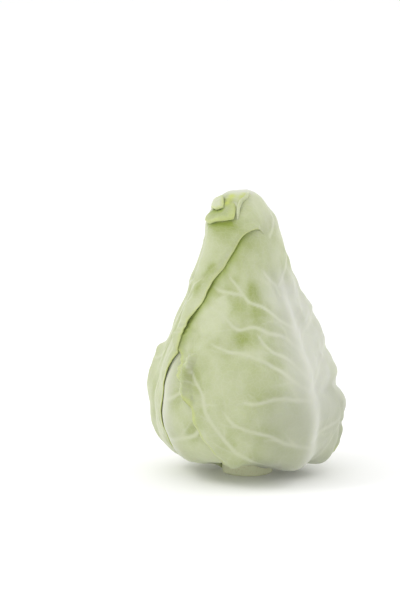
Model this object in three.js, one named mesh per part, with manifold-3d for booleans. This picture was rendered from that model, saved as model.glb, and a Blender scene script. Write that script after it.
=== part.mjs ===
// A pointed head of cabbage, standing on its cut stem.
// The head is a tight heart of young leaves around a short stem, with five looser
// wrapper leaves lying over it one after another, each from its own side of the stem.
// Every leaf is a thin blade that follows what lies under it, with a thick midrib on
// its outer face and a waved margin. Millimetres, +Z up, origin in the stem's cut face.
import * as THREE from "three";
import Module from "manifold-3d";

const wasm = await Module();
wasm.setup();

// Driving dimensions
const HEART_RADIUS = 56;
const HEART_BASE = 12;
const HEART_HEIGHT = 163;
const LEAN = -0.025;
const BLADE_THICKNESS = 1.2;
const LEAF_GAP = 0.35;
const STEM_RADIUS = 17;
const STEM_CLEARANCE = 0.6;
const FOOT_BELOW_LEAVES = 1;

// The heart's outline as shares of its radius and height, from under the stem to the tip
const OUTLINE = [
  [0, 0],
  [0.37, 0.003],
  [0.66, 0.012],
  [0.86, 0.045],
  [0.965, 0.12],
  [1, 0.22],
  [0.945, 0.33],
  [0.82, 0.44],
  [0.675, 0.56],
  [0.535, 0.68],
  [0.425, 0.79],
  [0.355, 0.88],
  [0.26, 0.948],
  [0.14, 0.987],
  [0, 1],
];

// The lattice of directions that every leaf is cut from
const COLUMNS = 36;
const SIDE_RINGS = 20;
const TIP_RINGS = 5;
const TIP_STARTS = 0.87;

// Wrapper leaves from the inside out. Azimuths and half widths are in degrees: plus is the
// side towards a growing azimuth. tip is how far the blade runs past the head's waist, and
// 90 is the head's own tip. lift is how far the waved margin stands off, in millimetres.
const LEAVES = [
  { name: "leaf_5_inner_right", azimuth: 350, plus: 70, minus: 74, tip: 92, rib: 4, lift: 1, phase: 0.4 },
  { name: "leaf_4_left", azimuth: 210, plus: 76, minus: 70, tip: 93, rib: 4.5, lift: 1.6, phase: 2.1 },
  { name: "leaf_3_back_right", azimuth: 50, plus: 66, minus: 76, tip: 98, rib: 5, lift: 1.8, phase: 3.7 },
  { name: "leaf_2_front", azimuth: 310, plus: 62, minus: 100, tip: 98, rib: 5, lift: 3, phase: 0.9 },
  { name: "leaf_1_back_left", azimuth: 150, plus: 67, minus: 70, tip: 109, rib: 5.5, lift: 1.8, phase: 5 },
];
const LEAF_FOOT = -78;
const FOOT_HALF_WIDTH = 11;
const WIDEST_AT = 0.59;
const FOOT_FULLNESS = 0.85;
const RIB_HALF_WIDTH = 8.5;
const RIB_TIP_WIDTH = 0.3;
const RIB_RUN_OUT = 1.5;
const MARGIN_WAVES = 6;
const MARGIN_DEPTH = 0.025;
const MARGIN_STARTS = 0.72;
const FOOT_CALM = 30;
const TIP_CALM = 110;
const DRAPE_PASSES = 3;

// Young leaves that only show as steps on the heart
const HEART_LEAVES = [
  { azimuth: 110, plus: 70, minus: 70, tip: 88, phase: 1 },
  { azimuth: 260, plus: 68, minus: 72, tip: 90, phase: 4 },
];
const HEART_STEP = 1.3;
const HEART_STEP_SPREAD = 7;

// The outermost leaf's tip is turned down over itself in two folds. up and across are the
// middle of a fold, in degrees, in the plane of a leaf at the folds' azimuth.
const FOLD_AZIMUTH = 236;
const TIP_FOLDS = [
  { up: 83.5, across: -3, high: 15, wide: 26, thick: 2.2 },
  { up: 87, across: -10, high: 9, wide: 11, thick: 4 },
];
const FOLD_SUNK = 0.7;

// The stem as shares of its radius and millimetres over the heart's base, and its cut edge
const STEM_CORE = [
  [1, 8],
  [0.72, 24],
  [0.5, 48],
  [0, 58],
];
const STEM_EDGE = 1.2;

// A leaf's margin crosses an edge of the lattice no nearer to its ends than this share of it
const CUT_ROOM = 0.12;

const DEGREES = 180 / Math.PI;
const FARTHEST = 0.98 * Math.PI;
const smooth = (x) => THREE.MathUtils.smoothstep(x, 0, 1);

// The heart's outline by arc length: where a ring lies and which way it faces
const outline = new THREE.SplineCurve(
  OUTLINE.map(([r, z]) => new THREE.Vector2(r * HEART_RADIUS, HEART_BASE + z * HEART_HEIGHT)),
);
outline.arcLengthDivisions = 800;

function ringAt(share) {
  const point = outline.getPointAt(share);
  const along = outline.getTangentAt(share);
  return { radius: Math.max(point.x, 0), z: point.y, outR: along.y, outZ: -along.x };
}

// Arc length share at which the outline passes the stem
function stemShare() {
  const reach = STEM_RADIUS + STEM_CLEARANCE;
  let share = 0;
  while (outline.getPointAt(share).x < reach) share += 0.0005;
  return share;
}

// Rings of vertices round the head, closer together at the tip, with one vertex at each pole
function makeLattice() {
  const first = stemShare();
  const shares = [];
  for (let i = 0; i <= SIDE_RINGS; i++) shares.push(first + ((TIP_STARTS - first) * i) / SIDE_RINGS);
  for (let i = 1; i <= TIP_RINGS; i++) shares.push(TIP_STARTS + ((1 - TIP_STARTS) * i) / (TIP_RINGS + 1));
  const points = [];
  const outward = [];
  const theta = [];
  const share = [];
  const add = (at, azimuth, ring) => {
    const [c, s] = [Math.cos(azimuth), Math.sin(azimuth)];
    const lean = LEAN * (at.z - HEART_BASE);
    points.push(new THREE.Vector3(at.radius * c + lean, at.radius * s, at.z));
    outward.push(new THREE.Vector3(at.outR * c + LEAN * at.outZ, at.outR * s, at.outZ));
    theta.push(azimuth);
    share.push(ring);
  };
  add({ radius: 0, z: HEART_BASE, outR: 0, outZ: -1 }, 0, 0);
  for (const s of shares) {
    for (let column = 0; column < COLUMNS; column++) add(ringAt(s), (2 * Math.PI * column) / COLUMNS, s);
  }
  add({ radius: 0, z: HEART_BASE + HEART_HEIGHT, outR: 0, outZ: 1 }, 0, 1);
  const top = points.length - 1;
  const at = (ring, column) => 1 + ring * COLUMNS + (column % COLUMNS);
  const triangles = [];
  for (let column = 0; column < COLUMNS; column++) {
    triangles.push([0, at(0, column + 1), at(0, column)]);
    for (let ring = 0; ring < shares.length - 1; ring++) {
      const [a, b] = [at(ring, column), at(ring, column + 1)];
      const [c, d] = [at(ring + 1, column + 1), at(ring + 1, column)];
      triangles.push([a, b, c], [a, c, d]);
    }
    triangles.push([at(shares.length - 1, column), at(shares.length - 1, column + 1), top]);
  }
  const neighbours = points.map(() => new Set());
  for (const [a, b, c] of triangles) {
    neighbours[a].add(b).add(c);
    neighbours[b].add(a).add(c);
    neighbours[c].add(a).add(b);
  }
  return { points, outward, theta, share, triangles, neighbours, first };
}

// A leaf's own plane: p runs up its midrib and q across it, both in degrees. The outline's arc
// length is read as a half circle, so that a blade can cross the tip without a seam.
function leafPlane(azimuth, theta, share) {
  const elevation = (share - 0.5) * Math.PI;
  const turn = theta - azimuth / DEGREES;
  const facing = Math.cos(elevation) * Math.cos(turn);
  const angle = Math.min(Math.acos(THREE.MathUtils.clamp(facing, -1, 1)), FARTHEST);
  const scale = angle < 1e-6 ? 1 : angle / Math.sin(angle);
  return {
    p: scale * Math.sin(elevation) * DEGREES,
    q: scale * Math.cos(elevation) * Math.sin(turn) * DEGREES,
  };
}

// Half width of a blade: a narrow foot that swells to the widest place, then a rounded tip
function halfWidth(leaf, p, q) {
  const along = (p - LEAF_FOOT) / (leaf.tip - LEAF_FOOT);
  const widest = q > 0 ? leaf.plus : leaf.minus;
  if (along >= 1) return leaf.tip - p;
  const wave = 1 + MARGIN_DEPTH * Math.sin(along * MARGIN_WAVES * 2 * Math.PI + leaf.phase);
  if (along > WIDEST_AT) {
    const past = (along - WIDEST_AT) / (1 - WIDEST_AT);
    return widest * Math.sqrt(1 - past * past) * wave;
  }
  const rise = Math.sin(((Math.PI / 2) * Math.max(along, 0)) / WIDEST_AT) ** FOOT_FULLNESS;
  return (FOOT_HALF_WIDTH + (widest - FOOT_HALF_WIDTH) * rise) * wave;
}

// Degrees from the blade's margin, positive inside it
function insideLeaf(leaf, lattice, vertex) {
  const { p, q } = leafPlane(leaf.azimuth, lattice.theta[vertex], lattice.share[vertex]);
  return Math.min(halfWidth(leaf, p, q) - Math.abs(q), p + 90);
}

// Height of the midrib over the blade, and of the waved margin over what is below it
function ribHeight(leaf, p, q) {
  const left = THREE.MathUtils.clamp((leaf.tip - p) / (leaf.tip - LEAF_FOOT), 0, 1);
  const wide = RIB_HALF_WIDTH * THREE.MathUtils.lerp(RIB_TIP_WIDTH, 1, left);
  return leaf.rib * left ** RIB_RUN_OUT * Math.exp(-((q / wide) ** 2));
}

function marginLift(leaf, p, q) {
  const out = Math.abs(q) / Math.max(halfWidth(leaf, p, q), 1);
  const along = (p - LEAF_FOOT) / (leaf.tip - LEAF_FOOT);
  const turn = along * MARGIN_WAVES * 2 * Math.PI + leaf.phase + Math.sign(q);
  const wave = (1 + Math.sin(turn)) / 2;
  const room = smooth((p - LEAF_FOOT) / FOOT_CALM) * smooth((leaf.tip - p) / TIP_CALM);
  return leaf.lift * room * wave * smooth((out - MARGIN_STARTS) / (1 - MARGIN_STARTS));
}

// A blade lies on what is below it, and bridges the steps there as a stiff sheet does
function drape(lattice, below) {
  let height = below.map((h) => h + LEAF_GAP);
  for (let pass = 0; pass < DRAPE_PASSES; pass++) {
    height = height.map((h, v) => {
      const round = [...lattice.neighbours[v]];
      const mean = round.reduce((sum, n) => sum + height[n], 0) / round.length;
      return Math.max(below[v] + LEAF_GAP, (h + mean) / 2);
    });
  }
  return height;
}

// The part of the lattice where inside is positive, as a closed shell between two heights. The
// faces round vertex 0 lie under the stem, so no shell has them.
function shell(lattice, inside, inner, outer) {
  const corners = new Map();
  const pairs = [];
  const corner = (a, b) => {
    const key = a === b ? `${a}` : `${Math.min(a, b)}_${Math.max(a, b)}`;
    if (!corners.has(key)) {
      const [low, high] = a < b ? [a, b] : [b, a];
      const cross = a === b ? 0 : inside[low] / (inside[low] - inside[high]);
      const share = a === b ? 0 : THREE.MathUtils.clamp(cross, CUT_ROOM, 1 - CUT_ROOM);
      const place = (heights) => {
        const from = lattice.points[low].clone().addScaledVector(lattice.outward[low], heights[low]);
        const to = lattice.points[high].clone().addScaledVector(lattice.outward[high], heights[high]);
        return from.lerp(to, share);
      };
      corners.set(key, pairs.length);
      pairs.push({ inner: place(inner), outer: place(outer) });
    }
    return corners.get(key);
  };
  const faces = [];
  for (const triangle of lattice.triangles.filter((t) => !t.includes(0))) {
    const loop = [];
    for (let i = 0; i < 3; i++) {
      const [a, b] = [triangle[i], triangle[(i + 1) % 3]];
      if (inside[a] > 0) loop.push(corner(a, a));
      if (inside[a] > 0 !== inside[b] > 0) loop.push(corner(a, b));
    }
    for (let i = 1; i < loop.length - 1; i++) faces.push([loop[0], loop[i], loop[i + 1]]);
  }
  const edges = new Map();
  for (const face of faces) {
    for (let i = 0; i < 3; i++) edges.set(`${face[i]}_${face[(i + 1) % 3]}`, [face[i], face[(i + 1) % 3]]);
  }
  const index = [];
  for (const [a, b, c] of faces) index.push(2 * a + 1, 2 * b + 1, 2 * c + 1, 2 * c, 2 * b, 2 * a);
  for (const [a, b] of edges.values()) {
    if (edges.has(`${b}_${a}`)) continue;
    index.push(2 * a + 1, 2 * a, 2 * b, 2 * a + 1, 2 * b, 2 * b + 1);
  }
  const positions = pairs.flatMap((pair) => [...pair.inner.toArray(), ...pair.outer.toArray()]);
  return solid(positions, index);
}

function solid(positions, index) {
  const mesh = new wasm.Mesh({
    numProp: 3,
    vertProperties: new Float32Array(positions),
    triVerts: new Uint32Array(index),
  });
  return new wasm.Manifold(mesh);
}

// The heart: one dense body with its young leaves as steps, and a socket for the stem
function heartHeight(lattice, vertex) {
  let height = 0;
  for (const leaf of HEART_LEAVES) {
    const { p, q } = leafPlane(leaf.azimuth, lattice.theta[vertex], lattice.share[vertex]);
    const margin = halfWidth(leaf, p, q) - Math.abs(q);
    height += HEART_STEP * smooth(margin / HEART_STEP_SPREAD);
  }
  return height;
}

function makeHeart(lattice, heights, socket) {
  const positions = [];
  for (const [v, point] of lattice.points.entries()) {
    positions.push(...point.clone().addScaledVector(lattice.outward[v], heights[v]).toArray());
  }
  return solid(positions, lattice.triangles.flat()).subtract(socket);
}

// A leaf lies over every lower leaf that any triangle of its blade touches
function makeLeaf(leaf, lattice, below) {
  const inside = lattice.points.map((_, v) => insideLeaf(leaf, lattice, v));
  const plane = lattice.points.map((_, v) => leafPlane(leaf.azimuth, lattice.theta[v], lattice.share[v]));
  const inner = drape(lattice, below).map((h, v) => h + marginLift(leaf, plane[v].p, plane[v].q));
  const outer = inner.map((h, v) => h + BLADE_THICKNESS + ribHeight(leaf, plane[v].p, plane[v].q));
  const touched = new Set();
  for (const triangle of lattice.triangles) {
    if (triangle.some((v) => inside[v] > 0)) triangle.forEach((v) => touched.add(v));
  }
  const above = below.map((h, v) => (touched.has(v) ? Math.max(h, outer[v]) : h));
  return { made: shell(lattice, inside, inner, outer), outer, above };
}

// Two flat folds of leaf tip, laid on the outermost blade and grown into it
function addTipFolds(blade, lattice, outer) {
  let made = blade;
  for (const fold of TIP_FOLDS) {
    const inside = lattice.points.map((_, v) => {
      const { p, q } = leafPlane(FOLD_AZIMUTH, lattice.theta[v], lattice.share[v]);
      return Math.min(fold.high / 2 - Math.abs(p - fold.up), fold.wide / 2 - Math.abs(q - fold.across));
    });
    const low = outer.map((h) => h - FOLD_SUNK);
    const high = outer.map((h) => h + fold.thick);
    made = made.add(shell(lattice, inside, low, high));
  }
  return made;
}

// The stem: a stump with a flat cut face, running up inside the heart as a tapered core
function stemSolid(footZ, grow) {
  const radius = STEM_RADIUS + grow;
  const profile = [new THREE.Vector2(0, footZ), new THREE.Vector2(radius - STEM_EDGE, footZ)];
  profile.push(new THREE.Vector2(radius, footZ + STEM_EDGE));
  for (const [share, up] of STEM_CORE) {
    profile.push(new THREE.Vector2(share * radius, HEART_BASE + up + grow));
  }
  const lathe = new THREE.LatheGeometry(profile, COLUMNS);
  lathe.rotateX(Math.PI / 2);
  return solidFromGeometry(lathe);
}

// A lathe's seam and poles repeat vertices, so each place is kept once
function solidFromGeometry(geometry) {
  const source = geometry.getAttribute("position");
  const places = new Map();
  const positions = [];
  const kept = [];
  for (let i = 0; i < source.count; i++) {
    const point = [source.getX(i), source.getY(i), source.getZ(i)];
    const key = point.map((x) => Math.round(x * 1e4) + 0).join();
    if (!places.has(key)) {
      places.set(key, positions.length / 3);
      positions.push(...point);
    }
    kept.push(places.get(key));
  }
  const index = [];
  for (let i = 0; i < geometry.index.count; i += 3) {
    const face = [0, 1, 2].map((k) => kept[geometry.index.getX(i + k)]);
    if (new Set(face).size === 3) index.push(...face);
  }
  return solid(positions, index);
}

function meshOf(made, name, material) {
  const { vertProperties, triVerts, numProp } = made.getMesh();
  const positions = [];
  for (let i = 0; i < vertProperties.length; i += numProp) {
    positions.push(...vertProperties.slice(i, i + 3));
  }
  const geometry = new THREE.BufferGeometry();
  geometry.setAttribute("position", new THREE.Float32BufferAttribute(positions, 3));
  geometry.setIndex([...triVerts]);
  geometry.computeVertexNormals();
  const mesh = new THREE.Mesh(geometry, material);
  mesh.name = name;
  return mesh;
}

const leafMaterial = new THREE.MeshStandardMaterial({ color: "#c3cd9d", roughness: 0.5, metalness: 0 });
const heartMaterial = new THREE.MeshStandardMaterial({ color: "#dfe2bf", roughness: 0.5, metalness: 0 });
const stemMaterial = new THREE.MeshStandardMaterial({ color: "#e4e0cb", roughness: 0.65, metalness: 0 });

const head = new THREE.Group();
const lattice = makeLattice();
const heartHeights = lattice.points.map((_, v) => heartHeight(lattice, v));
let below = heartHeights;
for (const leaf of LEAVES) {
  const { made, outer, above } = makeLeaf(leaf, lattice, below);
  const outermost = leaf === LEAVES.at(-1);
  head.add(meshOf(outermost ? addTipFolds(made, lattice, outer) : made, leaf.name, leafMaterial));
  below = above;
}

// The cut face lies just below the lowest midrib, and the head is moved so that it is at zero
const footZ = new THREE.Box3().setFromObject(head).min.z - FOOT_BELOW_LEAVES;
const socket = stemSolid(footZ, STEM_CLEARANCE);
head.add(meshOf(makeHeart(lattice, heartHeights, socket), "heart", heartMaterial));
head.add(meshOf(stemSolid(footZ, 0), "stem", stemMaterial));
for (const piece of head.children) piece.position.z = -footZ;

export default head;
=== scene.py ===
# %% [markdown]
# # A pointed head of cabbage
#
# This lesson dresses a imported model of a cabbage head for a studio picture. The imported model
# knows where every leaf is and how large it is. Here each leaf is made again as a fine sheet
# with veins, a thick midrib and a ruffled margin, and gets a waxy green finish.
#
# Its box is kept, because at the end its size is printed beside the dressed head's.

# %% Load the imported head
import math

import bpy
import numpy as np
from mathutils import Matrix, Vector


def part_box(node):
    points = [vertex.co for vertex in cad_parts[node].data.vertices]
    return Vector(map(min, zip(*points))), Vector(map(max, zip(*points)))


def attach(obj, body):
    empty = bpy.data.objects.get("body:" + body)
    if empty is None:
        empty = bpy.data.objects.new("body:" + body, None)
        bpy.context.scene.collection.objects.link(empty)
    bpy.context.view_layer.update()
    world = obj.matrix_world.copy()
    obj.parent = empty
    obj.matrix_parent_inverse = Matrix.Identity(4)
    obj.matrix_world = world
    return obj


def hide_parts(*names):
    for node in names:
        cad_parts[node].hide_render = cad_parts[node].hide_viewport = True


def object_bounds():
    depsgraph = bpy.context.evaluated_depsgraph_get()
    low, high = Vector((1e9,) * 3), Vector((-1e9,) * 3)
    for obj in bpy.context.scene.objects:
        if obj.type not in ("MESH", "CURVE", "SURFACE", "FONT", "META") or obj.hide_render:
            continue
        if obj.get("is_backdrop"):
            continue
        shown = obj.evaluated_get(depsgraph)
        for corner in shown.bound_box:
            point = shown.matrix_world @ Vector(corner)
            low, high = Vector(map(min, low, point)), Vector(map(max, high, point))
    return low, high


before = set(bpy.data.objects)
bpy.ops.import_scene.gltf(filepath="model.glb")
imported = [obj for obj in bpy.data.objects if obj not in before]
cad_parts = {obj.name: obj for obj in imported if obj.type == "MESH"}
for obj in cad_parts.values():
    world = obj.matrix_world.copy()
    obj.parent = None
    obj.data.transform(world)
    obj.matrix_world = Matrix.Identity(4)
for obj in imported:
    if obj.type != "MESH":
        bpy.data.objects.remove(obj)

cad_box = [list(corner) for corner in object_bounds()]
MM = 0.001
print("nodes:", sorted(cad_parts))
print("head is", round(cad_box[1][2] - cad_box[0][2], 4), "m tall")

# %% [markdown]
# ## The camera
#
# A camera far away with a long lens sees a small object almost without perspective, which is
# how food is usually photographed. The photograph is 400 by 600 pixels, so the frame's height
# sets the lens. The head stands right of the middle and low in the frame. The camera is simply
# aimed at the point of the head's plane that lies in the middle of the picture: a lens shift
# would do it too, but it would follow the camera to every other view.

# %% Place the camera
MM_PER_PIXEL = 0.665
FRAME_HEIGHT_PX = 600
MIDDLE_PX = (200, 300)
STEM_FOOT_PX = (248, 473)
CAMERA_ELEVATION = math.radians(9)
CAMERA_DISTANCE = 1.5
SENSOR = 36.0

aim_x = (MIDDLE_PX[0] - STEM_FOOT_PX[0]) * MM_PER_PIXEL * MM
aim_z = (STEM_FOOT_PX[1] - MIDDLE_PX[1]) * MM_PER_PIXEL * MM / math.cos(CAMERA_ELEVATION)
aim = Vector((aim_x, 0, aim_z))
back = Vector((0, -math.cos(CAMERA_ELEVATION), math.sin(CAMERA_ELEVATION)))

camera_data = bpy.data.cameras.new("camera")
camera_data.sensor_width = SENSOR
camera_data.lens = SENSOR * CAMERA_DISTANCE / (FRAME_HEIGHT_PX * MM_PER_PIXEL * MM)
camera = bpy.data.objects.new("camera", camera_data)
bpy.context.collection.objects.link(camera)
camera.location = aim + back * CAMERA_DISTANCE
camera.rotation_mode = "QUATERNION"
camera.rotation_quaternion = (-back).to_track_quat("-Z", "Y")
bpy.context.scene.camera = camera
print("lens", round(camera_data.lens), "mm")

# %% [markdown]
# ## The form that all leaves share
#
# A pointed head is nearly a solid of revolution: a low round base, a belly, and a long
# shoulder that narrows to a blunt tip. One outline, turned round the axis, gives that form, and
# every leaf is laid on it. The outline is a smooth curve through a few points, and a place on
# it is named by its share of the arc length, 0 under the stem and 1 at the tip.

# %% The head's outline
HEART_RADIUS = 56.0
HEART_BASE = 12.0
HEART_HEIGHT = 163.0
LEAN = -0.025
BLADE_THICKNESS = 1.2
LEAF_GAP = 0.35
STEM_RADIUS = 17.0
STEM_CLEARANCE = 0.6
STEM_TOP_OVER_BASE = 58.0
OUTLINE_STEPS = 4000
UNDERSIDE_STEPS = 400
OUTLINE = np.array([
    [0, 0], [0.37, 0.003], [0.66, 0.012], [0.86, 0.045], [0.965, 0.12], [1, 0.22],
    [0.945, 0.33], [0.82, 0.44], [0.675, 0.56], [0.535, 0.68], [0.425, 0.79],
    [0.355, 0.88], [0.26, 0.948], [0.14, 0.987], [0, 1],
])


def smoothstep(x):
    x = np.clip(x, 0, 1)
    return x * x * (3 - 2 * x)


def ramp(x, start, end):
    """0 before start, 1 past end and smooth between. It falls where end is the smaller one."""
    return smoothstep((x - start) / (end - start))


def smooth_curve(points, count):
    """Points along a Catmull-Rom curve whose end points are repeated."""
    last = len(points) - 1
    place = np.linspace(0, last, count)
    step = np.minimum(place.astype(int), last - 1)
    t = (place - step)[:, None]
    p0, p1 = points[np.maximum(step - 1, 0)], points[step]
    p2, p3 = points[step + 1], points[np.minimum(step + 2, last)]
    v0, v1 = (p2 - p0) / 2, (p3 - p1) / 2
    return (2 * p1 - 2 * p2 + v0 + v1) * t**3 + (3 * p2 - 3 * p1 - 2 * v0 - v1) * t**2 + v0 * t + p1


outline = smooth_curve(OUTLINE * [HEART_RADIUS, HEART_HEIGHT] + [0, HEART_BASE], OUTLINE_STEPS)
steps = np.linalg.norm(np.diff(outline, axis=0), axis=1)
arc = np.concatenate([[0], np.cumsum(steps)])
arc_length = arc[-1]
arc_share = arc / arc_length
slope = np.gradient(outline, arc, axis=0)
underside = slice(UNDERSIDE_STEPS)
bore = STEM_RADIUS + STEM_CLEARANCE
stem_share = float(np.interp(bore, outline[underside, 0], arc_share[underside]))
shift_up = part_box("stem")[1][2] / MM - (HEART_BASE + STEM_TOP_OVER_BASE)
HEART_FOOT = shift_up + HEART_BASE
print("outline", round(arc_length), "mm long, raised by", round(shift_up, 2), "mm")

# %% [markdown]
# ## Grown, not turned
#
# A form turned on a lathe looks made. The real head is slimmer under its tip, the tip leans a
# little to the left, and soft bumps and hollows run down its right outline. `on_head` gives
# the x, y and z of every place, for every sheet, so the unevenness goes in there: the leaves
# follow it together, and none comes through another.
#
# A bump is an azimuth, a share of the arc length, its spread in both, and its height.

# %% Places on the uneven head
DEGREES = 180 / math.pi
NECK_STARTS, NECK_FULL, NECK_LESS, NECK_ENDS = 0.64, 0.7, 0.86, 0.92
NECK_DEPTH = 1.6
LEAN_STARTS, LEAN_FULL, LEAN_LESS = 0.83, 0.95, 0.97
TIP_LEAN = 1.4
BUMPS = [
    (180, 0.715, 30, 0.035, 2.2),
    (355, 0.64, 20, 0.013, 2.0),
    (355, 0.508, 22, 0.02, -2.0),
    (350, 0.47, 26, 0.03, -1.2),
    (350, 0.398, 26, 0.028, -6.4),
    (352, 0.2, 24, 0.03, 3.5),
]


def turn_of(theta):
    """An azimuth in degrees, from 0 to 360."""
    return (theta * DEGREES) % 360


def uneven(theta, share):
    """How far the grown head departs from the turned outline, in millimetres."""
    neck = ramp(share, NECK_STARTS, NECK_FULL) * ramp(share, NECK_ENDS, NECK_LESS)
    leaning = ramp(share, LEAN_STARTS, LEAN_FULL) * ramp(share, 1, LEAN_LESS)
    height = -NECK_DEPTH * neck - TIP_LEAN * leaning * np.cos(theta)
    for azimuth, middle, wide, high, more in BUMPS:
        turn = np.angle(np.exp(1j * (theta - azimuth / DEGREES))) * DEGREES
        height = height + more * np.exp(-((turn / wide) ** 2) - ((share - middle) / high) ** 2)
    return height


def on_head(theta, share, height):
    """Places at a height over the outline, in millimetres, as an array of x, y, z."""
    height = height + uneven(theta, share)
    radius = np.interp(share, arc_share, outline[:, 0])
    z = np.interp(share, arc_share, outline[:, 1])
    out_r = np.interp(share, arc_share, slope[:, 1])
    out_z = np.interp(share, arc_share, -slope[:, 0])
    x = (radius + height * out_r) * np.cos(theta) + LEAN * (z - HEART_BASE + height * out_z)
    y = (radius + height * out_r) * np.sin(theta)
    return np.stack([x, y, z + height * out_z + shift_up], axis=-1)


print("the tip is at", on_head(np.array(0.0), np.array(1.0), 0).round(1), "mm")

# %% [markdown]
# ## A leaf's own plane
#
# Veins and margins are easiest to draw on a flat leaf. So every leaf gets its own plane, with
# p running up the midrib and q across it, both in degrees. The head is treated as a globe whose
# latitude is the share of arc length, and the plane is the map of that globe centred on the
# leaf. Such a map has no seam where a blade closes over the tip, which a grid of longitude and
# latitude would have.

# %% From the head to a leaf's plane and back
FARTHEST = 0.98 * math.pi


def to_plane(azimuth, theta, share):
    """p and q of a place on the head, for the leaf at an azimuth."""
    elevation = (share - 0.5) * math.pi
    turn = theta - azimuth / DEGREES
    angle = np.minimum(np.arccos(np.clip(np.cos(elevation) * np.cos(turn), -1, 1)), FARTHEST)
    scale = np.where(angle < 1e-6, 1.0, angle / np.sin(np.maximum(angle, 1e-6))) * DEGREES
    return scale * np.sin(elevation), scale * np.cos(elevation) * np.sin(turn)


def from_plane(azimuth, p, q):
    """The place on the head at p and q of the leaf at an azimuth."""
    angle = np.hypot(p, q) / DEGREES
    away = np.sin(angle) / np.maximum(angle, 1e-9) / DEGREES
    up, across, facing = away * p, away * q, np.cos(angle)
    theta = azimuth / DEGREES + np.arctan2(across, facing)
    return theta, np.arcsin(np.clip(up, -1, 1)) / math.pi + 0.5


there = to_plane(150, np.array(2.0), np.array(0.6))
print("azimuth 2, share 0.6 is at", np.round(there, 1), "and back",
      np.round(from_plane(150, *there), 3))

# %% [markdown]
# ## Seeded noise
#
# Nothing that grew is exact, so the veins wander and the blade swells a little here and there.
# Smooth noise does this. It interpolates random numbers on a grid, and because they come from
# a seeded generator the leaves are the same each time.

# %% Smooth noise
def noise(u, v, seed, cells=64):
    """Smooth noise from -1 to 1 over a plane, which repeats after a number of cells."""
    table = np.random.default_rng(seed).uniform(-1, 1, (cells, cells))
    iu, iv = np.floor(u).astype(int), np.floor(v).astype(int)
    fu, fv = smoothstep(u - iu), smoothstep(v - iv)

    def at(a, b):
        return table[a % cells, b % cells]

    low = at(iu, iv) * (1 - fu) + at(iu + 1, iv) * fu
    high = at(iu, iv + 1) * (1 - fu) + at(iu + 1, iv + 1) * fu
    return low * (1 - fv) + high * fv


print("noise along a line:", noise(np.arange(5) * 0.3, np.zeros(5), 1).round(2))

# %% [markdown]
# ## The leaves
#
# Five loose leaves wrap the heart, each from its own side of the stem. Their midribs, widths
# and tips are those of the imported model. The list runs from the inside out, so each leaf lies
# on the ones before it. The last one comes up the back and closes over the tip like a hood.
#
# `plus` and `minus` are a blade's half widths and `tip` is its upper end, in degrees of its
# plane. `rib` is the height of the midrib, and `lift` and `ruffle` are how far the long and the
# short waves of the margin stand off, all in millimetres. `phase` shifts the waves.
#
# The front leaf has a `crest_at`, because the crest of its midrib runs beside the middle. The
# hood has a few values more: it is less `wavy`, its margin lies closer with `hug`, and its waves
# start higher with `calm`. `lobes` are places where its right margin goes in or out, and
# `pressed` are the azimuths between which that margin sinks into the front leaf.

# %% Leaf sizes
LEAVES = [
    dict(name="leaf_5_inner_right", azimuth=350, plus=70, minus=74, tip=92, rib=4,
         lift=1, phase=0.4, ruffle=0.8),
    dict(name="leaf_4_left", azimuth=210, plus=76, minus=70, tip=93, rib=4.5,
         lift=1.6, phase=2.1, ruffle=1.4),
    dict(name="leaf_3_back_right", azimuth=50, plus=66, minus=76, tip=98, rib=5,
         lift=1.8, phase=3.7, ruffle=1.5),
    dict(name="leaf_2_front", azimuth=310, plus=62, minus=100, tip=98, rib=5,
         lift=2.0, phase=0.9, ruffle=1.8, crest_at=3),
    dict(name="leaf_1_back_left", azimuth=150, plus=67, minus=70, tip=109, rib=5.5,
         lift=1.8, phase=5, ruffle=0.7, wavy=0.2, hug=0.97, calm=150, pressed=(292, 304),
         lobes=[(96, 7, -4.2), (102.5, 4, -2), (109, 3.5, 9), (74, 7, 1.3), (56, 7, -1.6),
                (26, 9, -4)]),
]
FRONT, HOOD = LEAVES[3], LEAVES[4]
LEAF_FOOT = -78.0
FOOT_HALF_WIDTH = 11.0
WIDEST_AT = 0.59
FOOT_FULLNESS = 0.85
MARGIN_WAVES = 6
MARGIN_DEPTH = 0.025
MARGIN_STARTS = 0.72
FOOT_CALM = 30.0
TIP_CALM = 110.0


def along(leaf, p):
    """0 at a blade's foot and 1 at its tip."""
    return (p - LEAF_FOOT) / (leaf["tip"] - LEAF_FOOT)


def half_width(leaf, p, q):
    """Half width of a blade on the side of q: a narrow foot, a belly and a rounded tip."""
    at = along(leaf, p)
    widest = np.where(q > 0, leaf["plus"], leaf["minus"])
    beat = at * MARGIN_WAVES * 2 * math.pi + leaf["phase"]
    wave = 1 + MARGIN_DEPTH * leaf.get("wavy", 1) * np.sin(beat)
    past = np.clip((at - WIDEST_AT) / (1 - WIDEST_AT), 0, 1)
    rise = np.sin(math.pi / 2 * np.clip(at, 0, WIDEST_AT) / WIDEST_AT) ** FOOT_FULLNESS
    below = FOOT_HALF_WIDTH + (widest - FOOT_HALF_WIDTH) * rise
    wide = np.where(at > WIDEST_AT, widest * np.sqrt(1 - past**2), below) * wave
    for middle, spread, more in leaf.get("lobes", []):
        wide = wide + more * np.exp(-(((p - middle) / spread) ** 2)) * (q > 0)
    return wide


print("leaves, from the inside out:", [leaf["name"] for leaf in LEAVES])

# %% [markdown]
# ## Veins
#
# From the midrib of a cabbage leaf, thick side veins run up and out in a curve, thin out
# towards the margin and send off branches. Here they are grown: each vein starts on the midrib
# and takes short steps, and its direction wanders and steepens a little at each one.
#
# They could be painted, but seen from the side a painted vein is flat. So they stay lines, and
# the mesh later asks how far each of its points is from the nearest one.

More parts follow.
